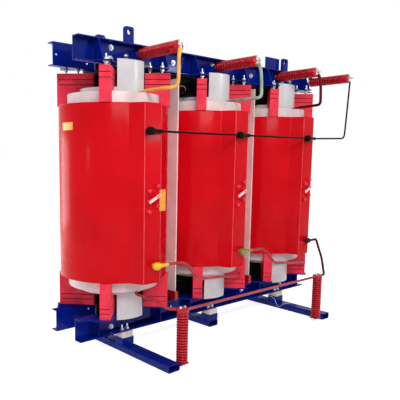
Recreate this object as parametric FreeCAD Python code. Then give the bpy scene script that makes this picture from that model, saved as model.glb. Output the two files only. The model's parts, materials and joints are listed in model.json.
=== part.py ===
import FreeCAD, Part
import math
import os

os.makedirs("parts", exist_ok=True)
Vec = FreeCAD.Vector

# Core, whose window sets the height of everything wound on it
core_window = 1132.0
coil_pitch = 683.0
yoke_half_depth = 88.0
yoke_overhang = 125.0
yoke_height = 200.0
limb_half_width = 108.0
limb_wide_half = 125.0
limb_wide_depth = 60.0
sheet = 4.0
yoke_half_length = coil_pitch + yoke_overhang

# Clamping beams, which are channels with their flanges turned away from the core
beam_overhang = 323.0
beam_height = 120.0
beam_wall = 6.0
flange_width = 53.0
pad_height = 32.0
rail_height = 40.0
beam_half_length = coil_pitch + beam_overhang
web_inner = yoke_half_depth + sheet
web_outer = web_inner + beam_wall
flange_tip = web_inner + flange_width
lower_beam_z = 2 * rail_height + pad_height
lower_yoke_z = lower_beam_z + beam_wall
window_foot = lower_yoke_z + yoke_height
upper_yoke_z = window_foot + core_window
upper_beam_z = upper_yoke_z + 94
beam_top = upper_beam_z + beam_height

# Coils, which stand in a row along X with their axes at y = 0
coil_centres = {"a": -coil_pitch, "b": 0.0, "c": coil_pitch}
tube_bore = 178.0
tube_wall = 8.0
inner_duct = 14.0
inner_wall = 53.0
outer_duct = 9.0
outer_wall = 38.0
winding_end_gap = 106.0
inner_end_gap = 47.0
tube_end_gap = 19.0
tab_overlap = 123.0
tab_middle = 94.5
tab_half_angle = 26.8
tube_radius = tube_bore + tube_wall
inner_bore = tube_radius + inner_duct
inner_radius = inner_bore + inner_wall
winding_bore = inner_radius + outer_duct
winding_radius = winding_bore + outer_wall
winding_mid = window_foot + core_window / 2
winding_top = upper_yoke_z - winding_end_gap
winding_bottom = window_foot + winding_end_gap
ring_top = upper_yoke_z - inner_end_gap
ring_foot = window_foot + inner_end_gap
tube_top = upper_yoke_z - tube_end_gap
tube_foot = window_foot + tube_end_gap

# Boss on the front of each winding, with places measured from the coil's axis
boss_depth = 56.0
boss_face = -(winding_radius + boss_depth)
boss_left = -75.0
boss_right = 37.0
boss_foot_left = -118.0
boss_foot_right = 68.0
boss_edge_round = 9.0

# Support blocks on the coil's diagonals
block_width = 57.0
block_lip = 9.0
block_outer = winding_radius + block_lip
block_inner = tube_radius - 14
block_gap = 23.0
groove_depth = 3.0
groove_height = 4.0
groove_places = (35.0, 62.0)
stud_places = (block_inner + 25, block_outer - 45)
diagonal = block_outer / math.sqrt(2)

# Feet
rail_width = 80.0
rail_wall = 4.0
rail_corner = 8.0
rail_reach = boss_face - 174
rail_rear = flange_tip + 13
rail_centres = {"left": -(coil_pitch + 16), "middle": -3.0, "right": coil_pitch + 17}
foot_front = -(flange_tip + 11)
foot_length = 70.0
pad_inset = 4.0

# Ribbed insulators
rib_radius = 31.0
neck_radius = 27.0
cap_length = 24.0
rib_count = 8
rib_share = 0.66
post_height = 288.0
post_bottom = 24.0
post_y = rail_reach + 25
post_centres = (rail_centres["left"] + 78, rail_centres["right"] - 83)
post_joint_z = post_bottom + post_height - 10
bushing_z = beam_top - 38
bushing_base = -(web_outer + beam_wall)
bushing_tip = boss_face - 44
bushing_centres = (108 - coil_pitch, 39.0, coil_pitch - 32, beam_half_length + 51)
strip_thick = 4.0
collar_reach = 35.0
collar_radius = 9.0

# Leads and their boots
phase_lead_radius = 9.0
link_lead_radius = 8.0
neutral_radius = 5.0
bend_share = 0.45
boot_radius = 20.0
boot_length = 74.0
terminal_y = boss_face - 27
upper_terminal_x = -60.0
upper_terminal_z = winding_top - 141
lower_terminal_x = -8.0
lower_terminal_z = winding_bottom + 95
nut_radius = 11.0
small_stud_radius = 6.0


def box(x0, x1, y0, y1, z0, z1):
    return Part.makeBox(x1 - x0, y1 - y0, z1 - z0, Vec(x0, y0, z0))


def rod(radius, start, end):
    along = Vec(*end) - Vec(*start)
    return Part.makeCylinder(radius, along.Length, Vec(*start), along)


def ring(outer, inner, x, z0, z1):
    shell = Part.makeCylinder(outer, z1 - z0, Vec(x, 0, z0))
    return shell.cut(Part.makeCylinder(inner, z1 - z0, Vec(x, 0, z0)))


def prism(points, along):
    corners = [Vec(*p) for p in points]
    return Part.Face(Part.makePolygon(corners + corners[:1])).extrude(Vec(*along))


def hexagon(radius, start, end):
    along = Vec(*end) - Vec(*start)
    turn = FreeCAD.Rotation(Vec(0, 0, 1), along)
    angles = [i * math.pi / 3 for i in range(6)]
    corners = [Vec(radius * math.cos(angle), radius * math.sin(angle), 0) for angle in angles]
    ends = [Vec(*start) + turn.multVec(corner) for corner in corners]
    return Part.Face(Part.makePolygon(ends + ends[:1])).extrude(along)


def save(name, shape):
    solids = shape.Solids
    print(name, len(solids), "solids", round(sum(s.Volume for s in solids) / 1000, 1), "cm3")
    shape.exportStep("parts/" + name + ".step")


def save_group(name, shapes):
    save(name, Part.Compound([s for shape in shapes for s in shape.Solids]))


# A lead is straight runs joined by tangent arcs
def bend_radius(before, corner, after):
    run_in = corner - before
    run_out = after - corner
    half_turn = run_in.getAngle(run_out) / 2
    return bend_share * min(run_in.Length, run_out.Length) / math.tan(half_turn), half_turn


def lead(name, points, radius):
    route = [Vec(*p) for p in points]
    edges = []
    position = route[0]
    length = 0.0
    for before, corner, after in zip(route, route[1:], route[2:]):
        bend, half_turn = bend_radius(before, corner, after)
        step = bend * math.tan(half_turn)
        way_in = (corner - before).normalize()
        way_out = (after - corner).normalize()
        start = corner - way_in * step
        end = corner + way_out * step
        to_centre = (way_out - way_in).normalize()
        middle = corner + to_centre * (bend / math.cos(half_turn) - bend)
        edges.append(Part.LineSegment(position, start).toShape())
        edges.append(Part.Arc(start, middle, end).toShape())
        length += (start - position).Length + 2 * half_turn * bend
        position = end
        print(name, "bend radius", round(bend, 1))
    edges.append(Part.LineSegment(position, route[-1]).toShape())
    length += (route[-1] - position).Length
    section = Part.Wire(Part.makeCircle(radius, route[0], route[1] - route[0]))
    solid = Part.Wire(edges).makePipeShell([section], True, True)
    print(name, "volume over section times length", round(solid.Volume / (math.pi * radius ** 2 * length), 4))
    return solid


# Each winding is a thick tube with a flat boss down its front
def outer_winding(x):
    tube = ring(winding_radius, winding_bore, x, winding_bottom, winding_top)
    foot_y = -(winding_bore + 6)
    outline = [(x + boss_foot_left, foot_y), (x + boss_left, boss_face), (x + boss_right, boss_face),
               (x + boss_foot_right, foot_y)]
    boss = prism([(px, py, winding_bottom) for px, py in outline], (0, 0, winding_top - winding_bottom))
    front = [e for e in boss.Edges
             if abs(e.BoundBox.YMax - boss_face) < 0.1 and e.BoundBox.ZLength > e.BoundBox.XLength + 1]
    return tube.fuse(boss.makeFillet(boss_edge_round, front)).removeSplitter()


def inner_winding(x):
    return ring(inner_radius, inner_bore, x, ring_foot, ring_top)


def tab(x, middle):
    bottom = Vec(x, 0, window_foot - tab_overlap)
    tab_height = core_window + 2 * tab_overlap
    first = middle - tab_half_angle
    outer = Part.makeCylinder(tube_radius, tab_height, bottom, Vec(0, 0, 1), 2 * tab_half_angle)
    outer = outer.cut(Part.makeCylinder(tube_bore, tab_height, bottom))
    return outer.rotate(bottom, Vec(0, 0, 1), first)


def barrier_tube(name, x):
    tube = ring(tube_radius, tube_bore, x, tube_foot, tube_top)
    tube = tube.fuse([tab(x, -tab_middle), tab(x, tab_middle)]).removeSplitter()
    if name == "a":
        front = -(tube_radius + 24)
        corner = [(x + 14, front, tube_foot), (x + 90, front, tube_foot), (x + 90, front, tube_foot - 66)]
        tube = tube.cut(prism(corner, (0, 80, 0)))
    return tube


def limb(x):
    deep = box(x - limb_half_width, x + limb_half_width, -yoke_half_depth, yoke_half_depth,
               window_foot, upper_yoke_z)
    wide = box(x - limb_wide_half, x + limb_wide_half, -limb_wide_depth, limb_wide_depth,
               window_foot, upper_yoke_z)
    return deep.fuse(wide).removeSplitter()


def yoke(z):
    return box(-yoke_half_length, yoke_half_length, -yoke_half_depth, yoke_half_depth, z, z + yoke_height)


# A beam is welded from a web, two flanges and its gussets.
# The flange toward the coils is flared outward over the support blocks.
def flared_flange(upper, z):
    edge = flange_tip - 5
    plate = box(-beam_half_length, beam_half_length, web_outer, flange_tip, z, z + beam_wall)
    if upper:
        flare = ((diagonal + 31, edge), (diagonal + 3, diagonal - 23), (diagonal - 23, diagonal + 8),
                 (diagonal - 43, diagonal + 8), (edge - 51, edge))
    else:
        flare = ((diagonal + 71, edge), (diagonal + 21, diagonal + 6), (diagonal - 14, diagonal + 27),
                 (diagonal - 27, diagonal + 23), (edge - 50, edge))
    for x in coil_centres.values():
        for way in (-1, 1):
            plate = plate.fuse(prism([(x + way * fx, fy, z) for fx, fy in flare], (0, 0, beam_wall)))
    return plate.removeSplitter()


def gusset(x, z, lower_reach):
    foot = z + beam_wall
    head = z + beam_height - beam_wall
    return prism([(x, web_outer, foot), (x, lower_reach, foot), (x, flange_tip, head), (x, web_outer, head)],
                 (beam_wall, 0, 0))


def beam(side, upper):
    z = upper_beam_z if upper else lower_beam_z
    head = z + beam_height - beam_wall
    web = box(-beam_half_length, beam_half_length, web_inner, web_outer, z, z + beam_height)
    flared, plain = (z, head) if upper else (head, z)
    plates = [web, flared_flange(upper, flared)]
    plates.append(box(-beam_half_length, beam_half_length, web_outer, flange_tip, plain, plain + beam_wall))
    reach = diagonal - 32 if upper else flange_tip
    for x in coil_centres.values():
        plates += [gusset(x - diagonal + 14, z, reach), gusset(x + diagonal + 15, z, reach)]
    if side < 0:
        plates = [plate.mirror(Vec(0, 0, 0), Vec(0, 1, 0)) for plate in plates]
    return plates


# A support block is drawn along +X from the coil's axis and turned onto its diagonal
def support_block(x, angle, upper):
    outer_end = upper_beam_z - block_gap if upper else 2 * winding_mid - lower_beam_z - beam_height
    profile = [(block_outer, winding_top), (block_outer, outer_end), (block_inner, outer_end),
               (block_inner, tube_top), (tube_radius + 1, tube_top), (tube_radius + 1, ring_top),
               (inner_radius + 1, ring_top), (inner_radius + 1, winding_top)]
    half = block_width / 2
    body = prism([(r, -half, z) for r, z in profile], (0, block_width, 0))
    for place in groove_places:
        z = outer_end - place
        slot = box(block_inner - 5, block_outer + 5, -half - 5, half + 5, z, z + groove_height)
        core = box(block_inner - 6, block_outer - groove_depth, groove_depth - half, half - groove_depth,
                   z - 1, z + groove_height + 1)
        body = body.cut(slot.cut(core))
    if not upper:
        body = body.mirror(Vec(0, 0, winding_mid), Vec(0, 0, 1))
    body.rotate(Vec(0, 0, 0), Vec(0, 0, 1), angle)
    body.translate(Vec(x, 0, 0))
    return body


def block_studs():
    studs = []
    for x in coil_centres.values():
        for angle in (45, 135, 225, 315):
            for radius in stud_places:
                px = x + radius * math.cos(math.radians(angle))
                py = radius * math.sin(math.radians(angle))
                under = upper_beam_z - block_gap
                studs.append(hexagon(small_stud_radius, (px, py, under), (px, py, upper_beam_z)))
                over = upper_beam_z + beam_wall
                studs.append(hexagon(nut_radius, (px, py, over), (px, py, over + 10)))
    return studs


def lifting_lug(x, way):
    y0, y1 = sorted((way * (flange_tip - 26), way * (flange_tip - 8)))
    plate = box(x - 30, x + 30, y0, y1, beam_top, beam_top + 83)
    corners = [e for e in plate.Edges if e.BoundBox.YLength > 1 and e.BoundBox.ZMin > beam_top + 80]
    plate = plate.makeFillet(12, corners)
    return plate.cut(rod(14, (x, y0 - 1, beam_top + 55), (x, y1 + 1, beam_top + 55)))


# Each bolt has the share of the pitch it stands near, its distance from there and its height on the web
upper_bolts = ((-1, -92, 90), (-1, -95, 35), (-1, 9, 58), (-0.5, 6, 64), (0, -6, 89), (0.5, 20, 61),
               (1, 22, 42), (1, 107, 62))
lower_bolts = ((-1, -93, 31), (-0.5, 6, 60), (0.5, -6, 60), (1, 93, 31))


def clamp_bolts():
    heads = []
    for foot, bolts in ((upper_beam_z, upper_bolts), (lower_beam_z, lower_bolts)):
        for share, offset, height in bolts:
            x = share * coil_pitch + offset
            z = foot + height
            for way in (-1, 1):
                heads.append(hexagon(nut_radius, (x, way * web_outer, z), (x, way * (web_outer + 9), z)))
    return heads


def rounded_bar(x, half, front, rear, foot, corner):
    bar = box(x - half, x + half, front, rear, foot, rail_height - foot)
    return bar.makeFillet(corner, [e for e in bar.Edges if e.BoundBox.YLength > rail_width])


# A rail is open tube, and its two short tubes are welded on under the beams
def foot_rail(x, front):
    half = rail_width / 2
    rail = rounded_bar(x, half, front, rail_rear, 0, rail_corner)
    hollow = rounded_bar(x, half - rail_wall, front - 1, rail_rear + 1, rail_wall, rail_corner - rail_wall)
    rail = rail.cut(hollow)
    for y in (foot_front, -foot_front - foot_length):
        rail = rail.fuse(box(x - half, x + half, y, y + foot_length, rail_height, 2 * rail_height))
    return rail.removeSplitter()


def foot_pads():
    half = rail_width / 2 - pad_inset
    pads = []
    for x in rail_centres.values():
        for y in (foot_front, -foot_front - foot_length):
            pads.append(box(x - half, x + half, y, y + foot_length, 2 * rail_height, lower_beam_z))
    return pads


def foot_studs():
    studs = []
    z = lower_beam_z + beam_wall
    for x in rail_centres.values():
        for y in (-(web_outer + 24), web_outer + 24):
            for side in (-18, 18):
                studs.append(hexagon(nut_radius, (x + side, y, z), (x + side, y, z + 10)))
                studs.append(hexagon(small_stud_radius, (x + side, y, z + 10), (x + side, y, z + 32)))
    return studs


# A ribbed insulator is drawn up Z from the origin: foot, ribs, then a plain cap
def insulator(height):
    groove = (height - 2 * cap_length) / (rib_count + (rib_count - 1) * rib_share / (1 - rib_share))
    rib = groove * rib_share / (1 - rib_share)
    profile = [(0, 0), (rib_radius, 0)]
    z = cap_length
    for i in range(rib_count):
        profile += [(rib_radius, z), (neck_radius, z), (neck_radius, z + groove), (rib_radius, z + groove)]
        z += groove + rib
    profile += [(rib_radius, height), (0, height)]
    face = Part.Face(Part.makePolygon([Vec(r, 0, z) for r, z in profile + profile[:1]]))
    return face.revolve(Vec(0, 0, 0), Vec(0, 0, 1), 360)


def collar(x, way):
    centre = Vec(x, post_y, post_joint_z)
    direction = Vec(*way).normalize()
    return Part.makeCylinder(collar_radius, collar_reach, centre, direction)


def post_insulator(x, ways):
    post = insulator(post_height)
    post.translate(Vec(x, post_y, post_bottom))
    return post.fuse([collar(x, way) for way in ways]).removeSplitter()


def post_brackets():
    plates = []
    for x, rail_side in zip(post_centres, (rail_centres["left"] + rail_width / 2,
                                           rail_centres["right"] - rail_width / 2)):
        inner = x + math.copysign(rib_radius, -x)
        low, high = sorted((inner, rail_side))
        plates.append(box(low, high, rail_reach, rail_reach + 50, post_bottom - 4, post_bottom))
    return plates


def bushing(x):
    body = insulator(bushing_base - bushing_tip)
    body.rotate(Vec(0, 0, 0), Vec(1, 0, 0), 90)
    body.translate(Vec(x, bushing_base, bushing_z))
    return body


def insulator_hardware():
    metal = []
    for x in bushing_centres:
        metal.append(rod(29, (x, bushing_base + beam_wall, bushing_z), (x, bushing_base, bushing_z)))
        front = bushing_tip - strip_thick
        metal.append(box(x - 9, x + 9, front, bushing_tip, bushing_z - 30, bushing_z + 26))
        bolt_z = bushing_z + 19
        metal.append(hexagon(6.5, (x, front, bolt_z), (x, front - 5, bolt_z)))
    top = post_bottom + post_height
    for x in post_centres:
        for side in (-14, 14):
            metal.append(hexagon(8, (x + side, post_y, top), (x + side, post_y, top + 12)))
    return metal


# The last bushing is held past the beam's end by a strap with a turned-down tab
def end_bracket():
    x = bushing_centres[-1]
    strap = box(beam_half_length - 70, x + 22, -flange_tip, -web_inner, beam_top, beam_top + beam_wall)
    tab_plate = box(x - 22, x + 22, -web_outer, -web_inner, bushing_z - 29, beam_top)
    return strap.fuse(tab_plate).removeSplitter()


# A boot covers a terminal on the boss and tapers toward +X
def boot(x, z):
    half = boot_radius * 0.55
    profile = [(-24, 0), (-24, 8), (-half, boot_radius), (half, boot_radius), (boot_length, 9),
               (boot_length, 0)]
    face = Part.Face(Part.makePolygon([Vec(x + px, terminal_y, z + pr) for px, pr in profile + profile[:1]]))
    blob = face.revolve(Vec(x, terminal_y, z), Vec(1, 0, 0), 360)
    return blob.fuse(rod(12, (x, boss_face, z), (x, terminal_y, z))).removeSplitter()


def neutral_lead():
    leads = []
    start = coil_centres["a"] + upper_terminal_x + boot_length
    for name in ("b", "c"):
        end = coil_centres[name] + upper_terminal_x - 24
        leads.append(rod(neutral_radius, (start, terminal_y, upper_terminal_z),
                         (end, terminal_y, upper_terminal_z)))
        start = coil_centres[name] + upper_terminal_x + boot_length
    contact = bushing_tip - strip_thick - neutral_radius - 0.8
    route = [(start, terminal_y, upper_terminal_z),
             (bushing_centres[-1] - 19, terminal_y - 19, upper_terminal_z + 11),
             (bushing_centres[-1], contact, bushing_z)]
    leads.append(lead("neutral", route, neutral_radius))
    return leads


# Each phase lead's two middle points, from the coil's axis, the insulator's tip and the ring or the insulator
phase_routes = {
    "a": ((93, -5, 19), (77, -21, -32)),
    "b": ((46, -32, 13), (44, -32, -32)),
    "c": ((-15, -24, 25), (-19, -24, -32)),
}


def phase_lead(name):
    x = coil_centres[name]
    contact = bushing_tip - strip_thick - phase_lead_radius - 0.4
    low, high = phase_routes[name]
    end_x = bushing_centres["abc".index(name)] - 3
    route = [(x + 20, -(inner_bore - 6), ring_top + phase_lead_radius + 0.6),
             (x + low[0], bushing_tip + low[1], ring_top + low[2]),
             (x + high[0], bushing_tip + high[1], bushing_z + high[2]),
             (end_x, contact, bushing_z)]
    return lead("phase_" + name, route, phase_lead_radius)


# The two linking leads run from a boot down to the next coil's support block
def linking_lead(name, next_x):
    x = coil_centres[name] + lower_terminal_x + boot_length
    drop_end = 217 if name == "a" else 237
    far = diagonal - 46 if name == "a" else diagonal - 28
    side = -far - block_width / math.sqrt(2)
    rest = ring_foot - 35
    route = [(x, terminal_y, lower_terminal_z), (x + 137, terminal_y, lower_terminal_z),
             (x + drop_end, terminal_y, lower_terminal_z - 110), (next_x + far - 28, side - 28, rest),
             (next_x + far, side, rest)]
    return lead("link_" + name, route, link_lead_radius)


left_way = (-20, 74, -6)
right_way = (1, 0, 0)


def post_leads():
    left = Vec(post_centres[0], post_y, post_joint_z) + Vec(*left_way).normalize() * collar_reach
    right = Vec(post_centres[1], post_y, post_joint_z) + Vec(*right_way).normalize() * collar_reach
    away = left + Vec(*left_way).normalize() * 60
    ring_x = coil_centres["a"] - 17
    ring_y = -(inner_bore + 25)
    x = coil_centres["c"] + lower_terminal_x + boot_length
    first = [(ring_x, ring_y, ring_foot), (ring_x, ring_y, ring_foot - 26),
             (ring_x + 32, boss_face + 26, ring_foot - 35), tuple(away), tuple(left)]
    last = [(x, terminal_y, lower_terminal_z), (x + 26, terminal_y, lower_terminal_z),
            (x + 36, terminal_y - 17, lower_terminal_z - 62),
            (x + 33, terminal_y - 42, lower_terminal_z - 114),
            (post_centres[1] + 145, post_y + 55, post_joint_z + 58),
            (post_centres[1] + 114, post_y + 28, post_joint_z + 22),
            (post_centres[1] + 80, post_y, post_joint_z), tuple(right)]
    return [lead("left_post", first, link_lead_radius), lead("right_post", last, link_lead_radius)]


def tie_rod():
    start, end = post_centres
    return rod(link_lead_radius - 0.5, (start + collar_reach, post_y, post_joint_z),
               (end - collar_reach, post_y, post_joint_z))


# Tap studs stand in two columns on the boss, with heights measured from the middle of the winding
tap_columns = ((-50, (22, -31, -84)), (5, (46, -3, -56)))
tap_front = boss_face - 20


def tap_studs():
    studs = []
    for x in coil_centres.values():
        for column, heights in tap_columns:
            for height in heights:
                z = winding_mid + height
                stud = rod(10, (x + column, boss_face, z), (x + column, tap_front, z))
                rim = [e for e in stud.Edges if e.BoundBox.YMax < tap_front + 0.1]
                studs.append(stud.makeChamfer(4, rim))
    return studs


def tap_links():
    (left, left_heights), (right, right_heights) = tap_columns
    rise = right_heights[1] - left_heights[1]
    slope = math.degrees(math.atan2(rise, right - left))
    length = math.hypot(rise, right - left)
    links = []
    for x in coil_centres.values():
        bar = box(-9, length + 9, tap_front - 4, tap_front, -8, 8)
        bar = bar.cut(box(length - 18, length + 4, tap_front - 5, tap_front + 1, -3, 3))
        bar.rotate(Vec(0, 0, 0), Vec(0, 1, 0), -slope)
        bar.translate(Vec(x + left, 0, winding_mid + left_heights[1]))
        links.append(bar)
    return links


# A phase board straddles both yokes and stands on the lower one
def phase_board(x):
    foot = lower_beam_z + beam_height + 8
    head = upper_beam_z - 29
    board = box(x - 3.5, x + 3.5, -(flange_tip + 10), flange_tip + 10, foot, head)
    slot = yoke_half_depth + 2
    board = board.cut(box(x - 5, x + 5, -slot, slot, foot - 10, window_foot))
    return board.cut(box(x - 5, x + 5, -slot, slot, upper_yoke_z - 2, head + 5))


def board_clips():
    clips = []
    floor = lower_beam_z + beam_height
    for x in (-coil_pitch / 2, coil_pitch / 2):
        clip = box(x - 12, x + 12, -(flange_tip + 20), -web_outer, floor, floor + 52)
        clip = clip.cut(box(x - 3.8, x + 3.8, -(flange_tip + 10.3), -web_outer + 1, floor + 8, floor + 60))
        clips += [clip, clip.mirror(Vec(0, 0, 0), Vec(0, 1, 0))]
    return clips


for name, x in coil_centres.items():
    save("outer_winding_" + name, outer_winding(x))
    save("inner_winding_" + name, inner_winding(x))
    save("barrier_tube_" + name, barrier_tube(name, x))
    save("core_limb_" + name, limb(x))
    for upper, word in ((True, "upper"), (False, "lower")):
        blocks = [support_block(x, angle, upper) for angle in (45, 135, 225, 315)]
        save_group(word + "_blocks_" + name, blocks)

save("upper_yoke", yoke(upper_yoke_z))
save("lower_yoke", yoke(lower_yoke_z))
sheet_height = beam_height - 14
sheets = [box(-yoke_half_length, yoke_half_length, y, y + sheet, z, z + sheet_height)
          for y in (-web_inner, yoke_half_depth) for z in (lower_yoke_z, upper_beam_z)]
save_group("yoke_insulation", sheets)

for side, side_word in ((-1, "front"), (1, "rear")):
    for upper, word in ((True, "upper"), (False, "lower")):
        save_group(word + "_" + side_word + "_beam", beam(side, upper))

save_group("block_studs", block_studs())
save_group("clamp_bolts", clamp_bolts())
save_group("lifting_lugs", [lifting_lug(x, way) for x in (-coil_pitch, coil_pitch) for way in (-1, 1)])
plate_y = -(web_outer + 12)
save("name_plate_carrier", box(coil_pitch - 183, coil_pitch - 33, plate_y, plate_y + beam_wall,
                               beam_top, beam_top + 81))

for name, x in rail_centres.items():
    save(name + "_rail", foot_rail(x, foot_front - 2 if name == "middle" else rail_reach))
save_group("foot_pads", foot_pads())
save_group("foot_studs", foot_studs())

save("left_post", post_insulator(post_centres[0], (left_way, (1, 0, 0))))
save("right_post", post_insulator(post_centres[1], (right_way, (-1, 0, 0))))
save_group("post_brackets", post_brackets())
for number, x in enumerate(bushing_centres, start=1):
    save("bushing_" + str(number), bushing(x))
save_group("insulator_hardware", insulator_hardware())
save("end_bracket", end_bracket())

for name in "abc":
    save("phase_lead_" + name, phase_lead(name))
    save("lower_boot_" + name, boot(coil_centres[name] + lower_terminal_x, lower_terminal_z))
save_group("neutral_boots", [boot(x + upper_terminal_x, upper_terminal_z) for x in coil_centres.values()])
save_group("neutral_lead", neutral_lead())
save_group("linking_leads", [linking_lead("a", coil_centres["b"]), linking_lead("b", coil_centres["c"])])
save_group("post_leads", post_leads())
save("tie_rod", tie_rod())

save_group("tap_studs", tap_studs())
save_group("tap_links", tap_links())
tag_x = coil_centres["a"] + boss_right - 10
save("tap_tag", box(tag_x, tag_x + 40, boss_face - 2, boss_face, winding_mid - 84, winding_mid + 26))
save("phase_board_ab", phase_board(-coil_pitch / 2))
save("phase_board_bc", phase_board(coil_pitch / 2))
save_group("board_clips", board_clips())
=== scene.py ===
import json
import math

import bmesh
import bpy
from mathutils import Euler, Matrix, Vector


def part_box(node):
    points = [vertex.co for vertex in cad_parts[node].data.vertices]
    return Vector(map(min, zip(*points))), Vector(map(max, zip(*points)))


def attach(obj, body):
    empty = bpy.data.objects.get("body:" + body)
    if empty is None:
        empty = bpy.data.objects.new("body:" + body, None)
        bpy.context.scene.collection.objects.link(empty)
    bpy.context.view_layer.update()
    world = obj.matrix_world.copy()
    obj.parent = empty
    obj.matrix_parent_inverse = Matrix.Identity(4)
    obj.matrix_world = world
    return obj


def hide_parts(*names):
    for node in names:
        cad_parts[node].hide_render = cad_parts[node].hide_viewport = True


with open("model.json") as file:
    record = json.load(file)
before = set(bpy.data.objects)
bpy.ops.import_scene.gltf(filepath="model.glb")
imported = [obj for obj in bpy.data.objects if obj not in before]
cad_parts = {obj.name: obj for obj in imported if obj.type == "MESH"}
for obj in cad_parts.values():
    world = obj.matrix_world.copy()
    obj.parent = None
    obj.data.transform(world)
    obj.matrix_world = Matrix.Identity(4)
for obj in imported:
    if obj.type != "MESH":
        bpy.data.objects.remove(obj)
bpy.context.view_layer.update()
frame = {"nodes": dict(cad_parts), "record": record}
nodes = frame["nodes"]
mm = 0.001


def linear(colour):
    # sRGB hex to the linear values that the shader wants
    channels = [int(colour[i:i + 2], 16) / 255 for i in (1, 3, 5)]
    return [c / 12.92 if c <= 0.04045 else ((c + 0.055) / 1.055) ** 2.4 for c in channels] + [1.0]


def addNode(tree, kind, inputs=None, **settings):
    # An input is a plain value, a socket, or a node whose first output is used
    node = tree.nodes.new(kind)
    for key, value in settings.items():
        setattr(node, key, value)
    for key, value in (inputs or {}).items():
        if isinstance(value, bpy.types.Node):
            value = value.outputs[0]
        if isinstance(value, bpy.types.NodeSocket):
            tree.links.new(value, node.inputs[key])
        else:
            node.inputs[key].default_value = value
    return node


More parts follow.
